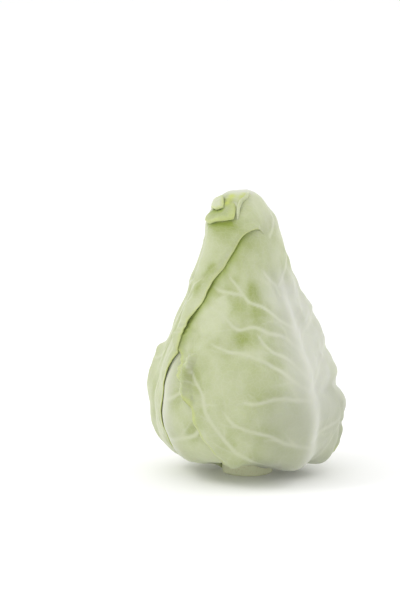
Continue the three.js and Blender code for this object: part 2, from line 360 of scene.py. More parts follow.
# %% Grow the veins of a leaf
MM_PER_DEGREE = arc_length / 180
VEIN_STEP = 4.0
VEIN_STEPS = 34
VEIN_SPACING = 21.0
VEIN_JITTER = 6.0
VEIN_WIDTH = (1.5, 0.4)
VEIN_SLOPE, VEIN_SLOPE_GAIN = 0.2, 0.6
VEIN_BEND = 0.025
WANDER = 0.1
STEEPEST = 1.45
MARGIN_SHARE = 0.97
FIRST_VEIN, LAST_VEIN, TIP_ROOM = 14.0, 16.0, 6.0
BRANCH_WIDTH = (0.6, 0.3)
BRANCH_BEND = 0.02
BRANCH_TURN = (0.45, 0.85)
BRANCH_STEPS = (3, 8)
BRANCH_EVERY = 2.6
KEEP_OFF = 4.0


def grow(leaf, start, slope, bend, steps, draw, others=()):
    """A line in the leaf's plane from start, which ends where it meets one of the others.
    slope is its angle over the outward direction."""
    sign = 1 if start[1] > 0 or (start[1] == 0 and slope >= 0) else -1
    slope, line = abs(slope), [start]
    for _ in range(steps):
        slope = min(slope + bend + draw.normal(0, WANDER), STEEPEST)
        p, q = line[-1]
        p, q = p + VEIN_STEP * math.sin(slope), q + sign * VEIN_STEP * math.cos(slope)
        edge = MARGIN_SHARE * float(half_width(leaf, np.array(p), np.array(q)))
        if p > leaf["tip"] - TIP_ROOM or abs(q) > edge:
            break
        line.append((p, q))
        gaps = [np.hypot(*(other - [p, q]).T).min() for other in others]
        if len(line) > 3 and gaps and min(gaps) < KEEP_OFF:
            break
    return line


def branches_of(leaf, line, mains, draw):
    """Short lines that leave a side vein by turns on its two sides."""
    others = [np.array(main) for main, _ in mains if main is not line]
    found = []
    place = draw.uniform(1, BRANCH_EVERY)
    turn = draw.choice([-1, 1])
    while place < len(line) - 1:
        (p0, q0), (p1, q1) = line[int(place)], line[int(place) + 1]
        along_vein = math.atan2(p1 - p0, abs(q1 - q0))
        slope = max(along_vein + turn * draw.uniform(*BRANCH_TURN), BRANCH_BEND)
        start = (p0, q0 + (0.01 if q0 > 0 else -0.01))
        steps = int(draw.integers(*BRANCH_STEPS))
        found.append(grow(leaf, start, slope, BRANCH_BEND * turn, steps, draw, others))
        place += BRANCH_EVERY * draw.uniform(0.6, 1.4)
        turn = -turn
    return [line for line in found if len(line) > 2]


def leaf_veins(leaf):
    """Side veins and branches of a leaf, each as a line, its two widths and its strength."""
    draw = np.random.default_rng(int(leaf["azimuth"]) * 3 + 1)
    mains = [(line, 1.0) for line in leaf.get("seen", [])]
    for sign in (-1, 1):
        starts = np.arange(LEAF_FOOT + FIRST_VEIN, leaf["tip"] - LAST_VEIN, VEIN_SPACING)
        for start in starts + draw.uniform(-VEIN_JITTER, VEIN_JITTER, len(starts)):
            slope = VEIN_SLOPE + VEIN_SLOPE_GAIN * along(leaf, start) + draw.uniform(-0.1, 0.15)
            taken = leaf.get("seen") and sign < 0 and SEEN_FROM < start < SEEN_TO
            others = [np.array(main) for main, _ in mains]
            foot = (start, 0.01 * sign)
            line = grow(leaf, foot, slope * sign, VEIN_BEND, VEIN_STEPS, draw, others)
            if not taken and len(line) > 3:
                mains.append((line, draw.uniform(0.45, 1)))
    found = [(np.array(line), VEIN_WIDTH, force, True) for line, force in mains]
    for line, force in mains:
        for branch in branches_of(leaf, line, mains, draw):
            found.append((np.array(branch), BRANCH_WIDTH, force * draw.uniform(0.5, 1), False))
    return found


print("side veins start every", VEIN_SPACING, "degrees of a midrib")

# %% [markdown]
# ## The veins that the photograph shows
#
# The front leaf faces the camera, and six of its side veins can be told apart in the
# photograph. They are listed as places in the leaf's plane, and the rest are grown.
# Between them lie greener and paler patches, which are given as spots: p and q of the middle,
# the spread along and across the leaf, and the strength, below 0 where the patch is pale. The
# green spots are partly the skin's own patches and partly painted shade beside the vein ridges.
# On the front leaf the spots at (66, -18) and (-22, 0) are painted shade below the hood's hook
# and low on the leaf, and on the hood the one at (85, 30) is painted shadow under the tip's fold.

# %% Side veins and patches that are seen
SEEN_FROM, SEEN_TO = -12.0, 62.0
SEEN_VEINS = [
    [(17, 0), (22, -9), (27, -17), (31, -25), (36, -32), (42, -37.5), (51, -42), (60, -44),
     (68, -44)],
    [(40, -36), (42, -44), (45, -50), (48, -56), (55, -63), (62, -68)],
    [(6, 0), (11, -7), (15.5, -18), (18.5, -32), (20.5, -43), (23, -48.5), (32, -60), (43, -71),
     (50, -78)],
    [(35, 0), (42, -3), (48, -11), (54, -17.5)],
    [(-8, 0), (-1, -7), (6, -20), (10.5, -27), (15, -32), (19.5, -37)],
    [(-15, 0), (-10, -8), (-4, -18), (1, -28), (4, -38), (6, -50), (10, -62), (17, -75), (25, -86)],
]
FRONT["seen"] = SEEN_VEINS
FRONT["spots"] = [
    (41, -26, 5, 5, 0.7), (33, -41, 6, 8, 0.7), (27, -28, 3, 9, 0.5), (14, -42, 5, 8, 0.9),
    (1, -22, 6, 8, 0.5), (63, -30, 10, 7, 0.4), (33, -60, 7, 9, -0.5), (4, -40, 4, 16, -0.5),
    (-22, 0, 14, 24, 0.25), (73, 4, 8, 8, 0.35), (66, -18, 5, 7, 0.6),
]
HOOD["spots"] = [
    (64, 52, 6, 5, 0.7), (45, 53, 6, 6, 0.5), (85, 30, 8, 13, 0.75), (54, 58, 8, 5, 0.3),
    (98, 3, 5, 5, -0.8),
]
for leaf in LEAVES:
    leaf["veins"] = leaf_veins(leaf)
print("lines of veins:", [len(leaf["veins"]) for leaf in LEAVES])

# %% [markdown]
# ## From lines to ridges
#
# `veins` gives every point of a leaf the strength of the vein that it is on, and the distance
# to the nearest side vein. A vein is a sharp ridge on a soft one, and fades where it leaves the
# midrib and again at its end. Each line only looks at the points near it, which keeps it quick.

# %% Distance to the veins
REACH = 12.0
VEIN_HALO = 2.9
SHARP_SHARE, SOFT_SHARE = 0.6, 0.4
VEIN_FADE = 6.0
END_FADE = 0.7
BENT, BENT_LENGTH = 1.3, 11.0


def to_line(p, q, line):
    """Distance of points to a line, and how far along the line the nearest place is, 0 to 1."""
    best, where = np.full(p.shape, 1e9), np.zeros(p.shape)
    pieces = len(line) - 1
    for i in range(pieces):
        start, step = line[i], line[i + 1] - line[i]
        t = ((p - start[0]) * step[0] + (q - start[1]) * step[1]) / max(float(step @ step), 1e-9)
        t = np.clip(t, 0, 1)
        distance = np.hypot(p - start[0] - t * step[0], q - start[1] - t * step[1])
        nearer = distance < best
        best, where = np.where(nearer, distance, best), np.where(nearer, (i + t) / pieces, where)
    return best * MM_PER_DEGREE, where


def veins(leaf, p, q):
    """Strength of the side veins and of the branches, and the distance to the nearest side vein."""
    seed = int(leaf["azimuth"])
    bent_p = p + BENT * noise(p / BENT_LENGTH, q / BENT_LENGTH, seed + 20)
    bent_q = q + BENT * noise(p / BENT_LENGTH + 9, q / BENT_LENGTH, seed + 21)
    vein, branch, near = np.zeros(p.shape), np.zeros(p.shape), np.full(p.shape, REACH)
    for line, (wide, narrow), force, is_main in leaf["veins"]:
        low, high = line.min(axis=0) - REACH, line.max(axis=0) + REACH
        chosen = np.nonzero((p > low[0]) & (p < high[0]) & (q > low[1]) & (q < high[1]))
        if not chosen[0].size:
            continue
        distance, where = to_line(bent_p[chosen], bent_q[chosen], line)
        width = wide + (narrow - wide) * where
        ridge = SHARP_SHARE * np.exp(-((distance / width) ** 2))
        ridge = ridge + SOFT_SHARE * np.exp(-((distance / width / VEIN_HALO) ** 2))
        uneven_force = 0.7 + 0.3 * noise(p[chosen] / 5, q[chosen] / 5, seed + 22)
        start, end = 0.6 + 0.4 * ramp(where, 0, 0.35), ramp(where, 1, END_FADE)
        strength = force * ridge * start * (1 - 0.45 * where) * end * uneven_force
        if is_main:
            vein[chosen] = np.maximum(vein[chosen], strength)
            near[chosen] = np.minimum(near[chosen], distance + VEIN_FADE * (1 - end))
        else:
            branch[chosen] = np.maximum(branch[chosen], strength)
    return vein, branch, near


example = to_line(np.array([2.0]), np.array([4.5]), np.array([(0, 0), (0, 9)]))
print("2 degrees off the middle of a line is", example[0].round(1), "mm off, at", example[1])

# %% [markdown]
# ## Midrib and margin
#
# The outer face of a leaf is its underside: that is the face on which the midrib and the veins
# stand out. The midrib is broad and thick at the foot and runs out towards the tip, with a
# narrower crest along it. The margin stands off what is below it in long waves, and short
# ruffles sit on those.

# %% Midrib, waves and ruffles
RIB_HALF_WIDTH = 8.5
RIB_TIP_WIDTH = 0.3
RIB_RUN_OUT = 1.5
RIB_CREST_WIDTH = 0.75
CREST_ENDS, CREST_FULL = 0.16, 0.41
CREST_DRIFTS, CREST_DRIFTED = 10, 60
RUFFLE_LENGTH = 8.0
RUFFLES_START = 0.84


def midrib(leaf, p, q):
    """Height of the midrib in millimetres, its crest from 0 to 1, and how far the tip still is."""
    left = np.clip(1 - along(leaf, p), 0, 1)
    wide = RIB_HALF_WIDTH * (RIB_TIP_WIDTH + (1 - RIB_TIP_WIDTH) * left)
    crest_q = q - leaf.get("crest_at", 0) * (1 + ramp(p, CREST_DRIFTS, CREST_DRIFTED))
    crest = np.exp(-((crest_q / (RIB_CREST_WIDTH * wide)) ** 2))
    crest = crest * ramp(left, CREST_ENDS, CREST_FULL)
    return leaf["rib"] * left**RIB_RUN_OUT * np.exp(-((q / wide) ** 2)), crest, left


def margin_lift(leaf, p, q):
    """How far the margin stands off what is below it: long waves with short ruffles on them."""
    out = np.abs(q) / np.maximum(half_width(leaf, p, q), 1)
    turn = along(leaf, p) * MARGIN_WAVES * 2 * math.pi + leaf["phase"] + np.sign(q)
    room = ramp(p, LEAF_FOOT, LEAF_FOOT + leaf.get("calm", FOOT_CALM))
    room = room * ramp(p, leaf["tip"], leaf["tip"] - TIP_CALM)
    waves = leaf["lift"] * (1 + np.sin(turn)) / 2 * ramp(out, MARGIN_STARTS, 1)
    beat = p / RUFFLE_LENGTH + 0.8 * noise(p / 17, q / 40, 78)
    short = (1 + np.sin(2 * math.pi * beat)) / 2
    short = short * (0.6 + 0.4 * noise(p / 10 + leaf["phase"], out, 77))
    return room * (waves + leaf["ruffle"] * short * ramp(out, RUFFLES_START, 1))


for p_at in (-60.0, 0.0, 60.0):
    high = midrib(FRONT, np.array(p_at), 0.0)[0].round(2)
    print("front midrib at p", p_at, "is", high, "mm high")

# %% [markdown]
# ## Where the skin is green
#
# A field between two veins is greenest beside them, and in patches; both are partly painted shade
# beside the vein ridges. The green is deepest in two places, and there it is painted shade: where
# the front leaf slips under the hood, and right below the folds of the tip.
# `greenness`, `under_hood` and `under_folds` give the strength of each, from 0 to 1.

# %% Green patches and the painted shade along edges
BESIDE_VEINS = 7.0
OFF_VEIN, OFF_VEIN_FULL = 0.3, 2.0
PLAIN_GREEN, PATCH_GREEN, PATCH_SHARE = 0.25, 0.6, 0.42
UNDER_HOOD = 0.95
UNDER_HOOD_WIDTH = 6.5
UNDER_FOLD_WIDTH = 1.8
EDGE_FADE = 0.15


def greenness(leaf, p, q, near, branch):
    """How green the skin is, from the distance to the nearest side vein and the branches; partly
    painted shade.
    """
    seed = int(leaf["azimuth"])
    off_vein = ramp(near, OFF_VEIN, OFF_VEIN_FULL)
    beside = off_vein * (0.4 + 0.6 * np.exp(-((near / BESIDE_VEINS) ** 2)))
    rough = 0.75 * noise(p / 12, q / 9, seed + 9) + 0.3 * noise(p / 5, q / 4, seed + 10)
    patch = smoothstep(PATCH_SHARE + rough)
    green = beside * (PLAIN_GREEN + PATCH_GREEN * patch) * (1 - 0.6 * branch)
    # Some spots are the skin's own patches, and some are painted shade.
    for spot_p, spot_q, long, wide, strength in leaf.get("spots", []):
        spot = np.exp(-(((p - spot_p) / long) ** 2) - ((q - spot_q) / wide) ** 2)
        green = green + strength * spot * off_vein
    return np.clip(green, 0, 1)


def under_hood(theta, share):
    """1 on the front leaf along the hood's margin, where it lies half under it: painted shade."""
    p, q = to_plane(HOOD["azimuth"], theta, share)
    beyond = (q - half_width(HOOD, p, q)) * MM_PER_DEGREE
    faded = ramp(p, 104, 92) * ramp(p, -10, 20) * (q > 0)
    return UNDER_HOOD * np.exp(-((beyond / UNDER_HOOD_WIDTH) ** 2)) * faded


def under_folds(theta, share, folds):
    """1 just below the lower edge of each of some folds of the tip: painted shadow of the fold."""
    turn = turn_of(theta)
    deep = np.zeros_like(theta)
    for fold in folds:
        (left, left_share, _), (right, right_share, _) = fold["corners"][:2]
        edge = (turn - left) / (right - left)
        below = (left_share + (right_share - left_share) * edge - share) * arc_length
        ends = ramp(edge, 0, EDGE_FADE) * ramp(edge, 1, 1 - EDGE_FADE)
        deep = np.maximum(deep, np.exp(-(((below - 0.5) / UNDER_FOLD_WIDTH) ** 2)) * ends)
    return deep


print("deep green reaches", UNDER_HOOD_WIDTH, "mm beyond the hood")

# %% [markdown]
# ## The tip's folds and rim
#
# At the very tip the hood's own end is folded over twice and dried a little there. Each fold is
# a four-cornered patch of the head: lower left, lower right, upper left, upper right. A corner
# is an azimuth, a share of arc length and a height over the hood. Beside the folds runs a rim,
# a thin roll of the same tissue along a few such places. They are only listed here, because the
# painted shadow below them belongs to the hood's pattern; their meshes come later.

# %% Places of the folds and the rim
FOLDS = [
    dict(corners=[(194, 0.899, 0.7), (260, 0.908, 1.7), (192, 0.946, -1.4), (254, 0.975, -2.6)],
         thick=1.8, ridges=0.25, rough=0.3, pull=0.1, bulge=0.3, vein=0.0, green=0.7, seed=3),
    dict(corners=[(205, 0.928, 1.3), (239, 0.935, 1.6), (185, 0.952, 1.7), (214, 0.965, 0.2)],
         thick=2.2, ridges=0.1, rough=0.1, pull=0.2, bulge=0.8, vein=0.7, green=0.1, seed=8),
]
RIM = [
    (262, 0.914, -0.6), (262, 0.93, 0.4), (263, 0.945, 0.7), (268, 0.956, 0.8),
    (279, 0.963, 0.8), (290, 0.971, 0.5), (298, 0.978, -0.5),
]
print(len(FOLDS), "folds and a rim of", len(RIM), "places")

# %% [markdown]
# ## The relief of a blade
#
# `relief` gives the height of everything on the outer face: midrib, veins, the quilting between
# them and low swellings. It keeps the strength of each feature as well, because the finish
# needs the same pattern later: veins are pale, and the fields between them are green.

# %% Height and marks of a blade
RIB_CREST_HEIGHT = 0.45
VEIN_HEIGHT = 0.4
BRANCH_HEIGHT = 0.18
QUILT_HEIGHT = 0.9
QUILT_STARTS, QUILT_FULL = 1.2, 9.2
SWELL_HEIGHT = 0.7
TIP_MARGIN = 30.0
CALM_OUT, CALM_TIP, CALM_FOOT = 0.88, 20.0, 14.0
VEINS_END, VEINS_FULL = 25.0, 53.0


def relief(leaf, p, q):
    """Height of the outer face over the blade's middle, and the strength of each feature."""
    seed, tip = int(leaf["azimuth"]), leaf["tip"]
    rib, crest, left = midrib(leaf, p, q)
    vein, branch, near = veins(leaf, p, q)
    out = np.maximum(np.abs(q) / half_width(leaf, p, q), 1 - (tip - p) / TIP_MARGIN)
    out = np.clip(out, 0, 1)
    calm = ramp(out, 1, CALM_OUT) * ramp(p, tip, tip - CALM_TIP)
    calm = calm * ramp(p, LEAF_FOOT, LEAF_FOOT + CALM_FOOT)
    swell = noise(p / 18, q / 12, seed + 5) + 0.4 * noise(p / 7, q / 6, seed + 6)
    height = VEIN_HEIGHT * vein * (0.4 + 0.6 * left) + BRANCH_HEIGHT * branch
    height = height + QUILT_HEIGHT * ramp(near, QUILT_STARTS, QUILT_FULL)
    height = height + SWELL_HEIGHT * (1 + swell) / 2
    height = rib + calm * (height + RIB_CREST_HEIGHT * crest)

    near_tip = ramp(p, tip - VEINS_END, tip - VEINS_FULL)
    vein, branch = vein * near_tip, branch * near_tip
    marks = dict(vein=vein, branch=branch, out=out, green=greenness(leaf, p, q, near, branch))
    marks["rib"] = np.maximum(crest, 0.4 * rib / max(leaf["rib"], 1))
    # Painted shade: along the hood's margin on the front leaf, and below the tip's folds on the
    # hood.
    marks["deep"] = np.zeros_like(out)
    place = from_plane(leaf["azimuth"], p, q)
    if leaf is FRONT:
        marks["deep"] = under_hood(*place)
    if leaf is HOOD:
        marks["deep"] = under_folds(*place, FOLDS)
    return height, marks


flank = relief(FRONT, np.linspace(-60, 80, 5), np.full(5, -30.0))
print("relief up the front leaf:", flank[0].round(2), "mm, green", flank[1]["green"].round(2))

# %% [markdown]
# ## Laying one leaf on another
#
# A leaf lies on what is below it, and where that has a step, such as another leaf's margin, a
# stiff blade bridges it. Cloth simulation could find that shape, but a head of cabbage is
# packed so tightly that a simpler way does: a height is kept for every place on the head, each
# leaf starts on top of it, and a few rounds of averaging make its underside smooth.

# %% The height map and how a leaf drapes on it
RINGS = 180
COLUMNS = 288
LAY_ROUNDS = 90
EXTRA_GAP = 0.1


def around(count):
    """Evenly spaced angles of a full turn."""
    return np.arange(count) * 2 * math.pi / count


ring_shares = np.linspace(stem_share * 0.5, 1, RINGS)[:, None] * np.ones((1, COLUMNS))
column_angles = np.ones((RINGS, 1)) * around(COLUMNS)[None, :]


def drape(below):
    """Heights of a blade's underside over what is below it."""
    floor = below + LEAF_GAP + EXTRA_GAP
    height = floor.copy()
    for _ in range(LAY_ROUNDS):
        up = np.vstack([height[1:], height[-1:]])
        down = np.vstack([height[:1], height[:-1]])
        mean = (up + down + np.roll(height, 1, axis=1) + np.roll(height, -1, axis=1)) / 4
        height = np.maximum(floor, (height + mean) / 2)
        height[-1] = height[-1].mean()
    return height


def cover(below):
    """The highest of each place and its neighbours, so that a margin clears the edges below it."""
    wide = np.maximum(np.maximum(below, np.roll(below, 1, axis=1)), np.roll(below, -1, axis=1))
    up, down = np.vstack([wide[1:], wide[-1:]]), np.vstack([wide[:1], wide[:-1]])
    return np.maximum(np.maximum(wide, up), down)


def sample(field, theta, share):
    """A field of the height map at any place, interpolated."""
    low = ring_shares[0, 0]
    row = np.clip((share - low) / (1 - low) * (RINGS - 1), 0, RINGS - 1.001)
    column = (theta / (2 * math.pi) * COLUMNS) % COLUMNS
    i, j = row.astype(int), column.astype(int)
    fi, fj = row - i, column - j
    j, k = j % COLUMNS, (j + 1) % COLUMNS
    low_ring = field[i, j] * (1 - fj) + field[i, k] * fj
    high_ring = field[i + 1, j] * (1 - fj) + field[i + 1, k] * fj
    return low_ring * (1 - fi) + high_ring * fi


print("height map of", RINGS, "rings, each with", COLUMNS, "places")

# %% [markdown]
# ## From a grid of places to a mesh
#
# A blade is a grid of places on its outer face, a second grid on its inner face, and a strip
# round the margin that closes the two. The same helper serves for every piece: it takes the
# grids, makes the faces in one order, and stores the strength of each feature on the vertices
# as attributes, where the shader can read them.

# %% A closed sheet from two grids
def sheet_faces(rows, columns):
    """Faces of a closed sheet whose outer grid comes first and whose inner grid follows."""
    index = np.arange(rows * columns).reshape(rows, columns)
    inner = index + rows * columns
    quad = np.stack([index[:-1, :-1], index[:-1, 1:], index[1:, 1:], index[1:, :-1]], -1)
    under = np.stack([inner[:-1, :-1], inner[1:, :-1], inner[1:, 1:], inner[:-1, 1:]], -1)
    loop = np.concatenate([index[0, :-1], index[:-1, -1], index[-1, :0:-1], index[:0:-1, 0]])
    ahead = np.roll(loop, -1)
    size = rows * columns
    rim = np.stack([loop, loop + size, ahead + size, ahead], -1)
    return np.concatenate([quad.reshape(-1, 4), under.reshape(-1, 4), rim])


def tube_faces(rows, columns):
    """Faces of a tube of rings, closed at both ends."""
    index = np.arange(rows * columns).reshape(rows, columns)
    right = np.roll(index, -1, axis=1)
    walls = np.stack([index[:-1], right[:-1], right[1:], index[1:]], -1).reshape(-1, 4)
    return walls.tolist() + [index[-1].tolist(), index[0, ::-1].tolist()]


def make_piece(name, points, faces, values):
    """A smooth mesh object from points in millimetres, faces, and values for each point."""
    mesh = bpy.data.meshes.new(name)
    mesh.from_pydata((points * MM).tolist(), [], faces)
    for key, value in values.items():
        kind, field = ("FLOAT_VECTOR", "vector") if value.ndim == 2 else ("FLOAT", "value")
        attribute = mesh.attributes.new(key, kind, "POINT")
        attribute.data.foreach_set(field, value.astype(np.float32).ravel())
    mesh.polygons.foreach_set("use_smooth", np.ones(len(mesh.polygons), dtype=bool))
    mesh.update()
    piece = bpy.data.objects.new(name, mesh)
    bpy.context.collection.objects.link(piece)
    return piece


print("a sheet of 3 by 3 places has", len(sheet_faces(3, 3)), "faces")

# %% [markdown]
# ## Tones that belong to a place on the head
#
# Three tones don't follow the leaves but the head. Its right side is whitish: partly its own
# pale tone, because other leaves shaded it while it grew, and partly painted light for the
# brighter light on that side, with less of it at the foot as painted shade. Low on that side the
# skin is darker, which is painted shade. And in the small hollows of the folded tip the skin is a
# bright yellow-green: partly the young tissue's own tone, partly painted light shining through
# it. Each is a strength from 0 to 1.

# %% Pale side, painted shade low on it, and glowing hollows
PALE_BACK, PALE_FULL, PALE_LESS, PALE_ENDS = 272, 318, 10, 55
PALE_TIP = 0.7
LOW_SHADE_BACK, LOW_SHADE_FULL, LOW_SHADE_LESS, LOW_SHADE_ENDS = 262, 292, 20, 65
LOW_SHADE_TOP, LOW_SHADE_LOW = 0.47, 0.33
FRESH_GLOW_SPOTS = [
    (233, 0.953, 10.0), (234, 0.96, 10.5), (236, 0.967, 11.0), (270, 0.967, 11.0),
    (281, 0.973, 11.3),
]
FRESH_GLOW_RADIUS = 2.5


def right_side(turn, back, full, less, ends):
    """1 on a stretch of azimuths round the right side, which runs past 0, and 0 off it."""
    return ramp(turn, back, full) * (turn > 180) + ramp(turn, ends, less) * (turn < 90)


def pale_side(theta, share):
    """How whitish a place is: most on the right side, least at the neck and at the foot."""
    turn = turn_of(theta)
    # A whitish right side: partly the skin's own tone, partly painted light for that brighter side.
    side = right_side(turn, PALE_BACK, PALE_FULL, PALE_LESS, PALE_ENDS)
    cloudy = 0.8 + 0.2 * noise(theta * 9, share * 22, 55)
    side = side * np.where((turn < 90) | (turn > 340), cloudy, 1)
    # Less pale at the neck; less pale at the foot is painted shade, darker towards the bottom.
    side = side * (1 - 0.8 * ramp(share, 0.7, 0.82)) * (1 - 0.65 * ramp(share, 0.42, 0.2))
    return np.maximum(side, PALE_TIP * ramp(share, 0.96, 0.98))


def low_side_shade(theta, share):
    """How much painted shade a place gets: low on the right side, where less light falls."""
    side = right_side(turn_of(theta), LOW_SHADE_BACK, LOW_SHADE_FULL, LOW_SHADE_LESS, LOW_SHADE_ENDS)
    return side * ramp(share, LOW_SHADE_TOP, LOW_SHADE_LOW)


def fresh_glow_spots(points):
    """How near a point is to one of the tip's hollows, whose yellow-green is partly painted light.
    """
    found = np.zeros(len(points))
    for azimuth, share, height in FRESH_GLOW_SPOTS:
        middle = on_head(np.array(azimuth / DEGREES), share, height)
        distance = np.linalg.norm(points - middle, axis=1)
        found = np.maximum(found, np.exp(-((distance / FRESH_GLOW_RADIUS) ** 2)))
    return found


half_up = pale_side(np.array([0, 4.7, 3.1]), np.full(3, 0.5))
print("pale at right, front and left:", half_up.round(2))

# %% [markdown]
# ## One leaf
#
# The grid of a blade is even in its own plane and finer towards its margin. Its inner face lies
# on what is below, its outer face is that plus the thickness and the relief. Along the margin
# the blade is thinner and hugs what is below it.
#
# The hood is special. Its right margin ends in the photograph as if it were one with the front
# leaf. So there its inner face sinks into that leaf by a hair, and it takes over the leaf's
# marks, which hides the end of the sheet.

# %% One leaf as points, faces and values
LEAF_ROWS = 236
LEAF_COLUMNS = 176
LOW_ROWS = 0.55
MARGIN_THICKNESS = 0.65
UPPER_THINNING = 0.55
PRESSED_THICKNESS = 0.3
MARGIN_HUG = 0.8
STAND_OFF = 2.4
STAND_OFF_AT, STAND_OFF_SPREAD = 280, 14
TIP_RISE = 3.2
SHADED = ("vein", "branch", "green", "rib", "out", "deep")
LOWEST = 0.5


def leaf_grid(leaf):
    """Places of a blade's grid in its plane: even rows up to the widest place, then even arcs."""
    body = np.linspace(0.004, WIDEST_AT, int(LEAF_ROWS * LOW_ROWS), endpoint=False)
    arcs = np.sin(np.linspace(0, math.radians(88.5), LEAF_ROWS - len(body)))
    at = np.concatenate([body, WIDEST_AT + (1 - WIDEST_AT) * arcs])
    p = LEAF_FOOT + at * (leaf["tip"] - LEAF_FOOT)
    across = np.linspace(-1, 1, LEAF_COLUMNS)
    across = across * (0.86 + 0.14 * across**2)
    p = p[:, None] * np.ones((1, LEAF_COLUMNS))
    q = half_width(leaf, p, across[None, :]) * across[None, :]
    return p, q


def blade_thickness(p, out):
    """A blade is thinner at its margin than in its middle, and thinnest at its upper margin."""
    margin = MARGIN_THICKNESS * (1 - UPPER_THINNING * ramp(p, 15, 60))
    return margin + (BLADE_THICKNESS - margin) * ramp(out, 1, 0.65)


def closed_sheet(theta, share, outer, inner, marks, azimuth, p, q):
    """Points, faces and values of a sheet between two heights over a grid of places."""
    points = np.concatenate([on_head(theta, share, h).reshape(-1, 3) for h in (outer, inner)])
    points[:, 2] = np.maximum(points[:, 2], LOWEST)
    values = {key: np.tile(marks[key].ravel(), 2) for key in SHADED}
    flat = np.stack([p * MM_PER_DEGREE, q, np.full_like(p, azimuth)], -1)
    values["flat"] = np.tile(flat.reshape(-1, 3), (2, 1))
    values["inside"] = np.repeat([0.0, 1.0], p.size)
    values["pale"] = np.tile(pale_side(theta, share).ravel(), 2)
    values["dull"] = np.tile(low_side_shade(theta, share).ravel(), 2)
    values["fresh"] = fresh_glow_spots(points)
    return points, sheet_faces(*p.shape).tolist(), values


def stand_off(theta, out):
    """The hood's margin stands off the front leaf most just before it is pressed on it."""
    turn = turn_of(theta)
    near = np.exp(-(((turn - STAND_OFF_AT) / STAND_OFF_SPREAD) ** 2))
    return STAND_OFF * near * ramp(out, 0.72, 1)


def press(theta, out):
    """1 where the hood's margin lies so close on the front leaf that it can't be told from it."""
    turn = turn_of(theta)
    turn = np.where(turn < 180, turn + 360, turn)
    return ramp(turn, *HOOD["pressed"]) * ramp(turn, 425, 400) * ramp(out, 0.55, 0.95)


def leaf_heights(leaf, p, q, theta, share, below):
    """Inner and outer heights of a blade over what is below it, and the marks on it."""
    raised, marks = relief(leaf, p, q)
    out = marks["out"]
    resting = sample(drape(below), theta, share)
    covering = sample(below if leaf is HOOD else cover(below), theta, share) + LEAF_GAP
    hug = leaf.get("hug", MARGIN_HUG) * ramp(out, 0.6, 0.95)
    inner = resting + (covering - resting) * hug + margin_lift(leaf, p, q)
    thickness = blade_thickness(p, out)
    if leaf is HOOD:
        pressed = press(theta, out)
        _, front = relief(FRONT, *to_plane(FRONT["azimuth"], theta, share))
        marks = {key: marks[key] * (1 - pressed) + front[key] * pressed for key in marks}
        inner = inner + stand_off(theta, marks["out"]) + TIP_RISE * ramp(share, 0.94, 0.985)
        inner = inner + (sample(below, theta, share) - PRESSED_THICKNESS - inner) * pressed
        thickness = thickness * (1 - pressed) + PRESSED_THICKNESS * pressed
        raised = raised * (1 - pressed)
    return inner, inner + thickness + raised, marks


def lay_leaf(leaf, below):
    """Points, faces and values of a leaf laid on the height map, and the map with it added."""
    p, q = leaf_grid(leaf)
    theta, share = from_plane(leaf["azimuth"], p, q)
    inner, outer, marks = leaf_heights(leaf, p, q, theta, share, below)
    sheet = closed_sheet(theta, share, outer, inner, marks, leaf["azimuth"], p, q)

    map_p, map_q = to_plane(leaf["azimuth"], column_angles, ring_shares)
    covered = (np.abs(map_q) < half_width(leaf, map_p, map_q) + 1) & (map_p < leaf["tip"] + 1)
    _, map_outer, _ = leaf_heights(leaf, map_p, map_q, column_angles, ring_shares, below)
    return sheet, np.where(covered, np.maximum(below, map_outer), below)


print("a blade's grid has", LEAF_ROWS * LEAF_COLUMNS, "places on each face")

# %% [markdown]
# ## Sheets for the folded tip
#
# A fold is made like a leaf, but over its four-cornered patch: its sides are pulled in a little,
# its place wanders, and it is thick in the middle and thin at its edge. The rim is a tube round
# a smooth curve, with rounded ends.

# %% Folds and rim of the tip
FOLD_GRID = 46
FOLD_RIDGES = 22
FOLD_EDGE = 0.35
RIM_RADIUS = 1.2
RIM_RINGS = 60
RIM_SIDES = 14
RIM_VALUES = dict(vein=0.35, green=0.25, out=0.9, branch=0, rib=0, deep=0, inside=0, pale=0,
                  dull=0, fresh=0)


def fold_sheet(fold, hood_map):
    """A sheet over a patch with four corners, lower left, lower right, upper left, upper right."""
    u = np.linspace(-1, 1, FOLD_GRID)[None, :] * np.ones((FOLD_GRID, 1))
    v = u.T
    right, up = (1 + u * (1 - fold["pull"] * v**2)) / 2, (1 + v * (1 - fold["pull"] * u**2)) / 2
    corners = np.array(fold["corners"])
    low = corners[0] * (1 - right[..., None]) + corners[1] * right[..., None]
    high = corners[2] * (1 - right[..., None]) + corners[3] * right[..., None]
    place = low * (1 - up[..., None]) + high * up[..., None]
    theta = (place[..., 0] + 1.5 * noise(up * 3, right + 5, fold["seed"])) / DEGREES
    share = place[..., 1] + 0.003 * noise(right * 3.5, up + 2, fold["seed"] + 1)
    edge = np.maximum(np.abs(u), np.abs(v))
    inner = sample(hood_map, theta, share) + place[..., 2]
    inner = inner + fold["bulge"] * (1 - u**2)
    inner = inner + fold["rough"] * noise(right * 4, up * 4, fold["seed"] + 2)
    wandering = 2 * noise(right * 3, up * 3, fold["seed"] + 3)
    ridges = fold["ridges"] * np.sin(up * FOLD_RIDGES + wandering)
    body = FOLD_EDGE + (1 - FOLD_EDGE) * np.sqrt(1 - edge**5)
    outer = inner + fold["thick"] * body + ridges * (1 - edge)
    marks = dict(out=0.9 + 0.1 * edge)
    marks["vein"], marks["green"] = np.full_like(up, fold["vein"]), np.full_like(up, fold["green"])
    marks["branch"], marks["rib"] = np.zeros_like(up), np.zeros_like(up)
    # The upper fold casts a painted shadow on the main fold.
    marks["deep"] = under_folds(theta, share, FOLDS[1:]) if fold is FOLDS[0] else np.zeros_like(up)
    return closed_sheet(theta, share, outer, inner, marks, 0, share * 180, theta * DEGREES)


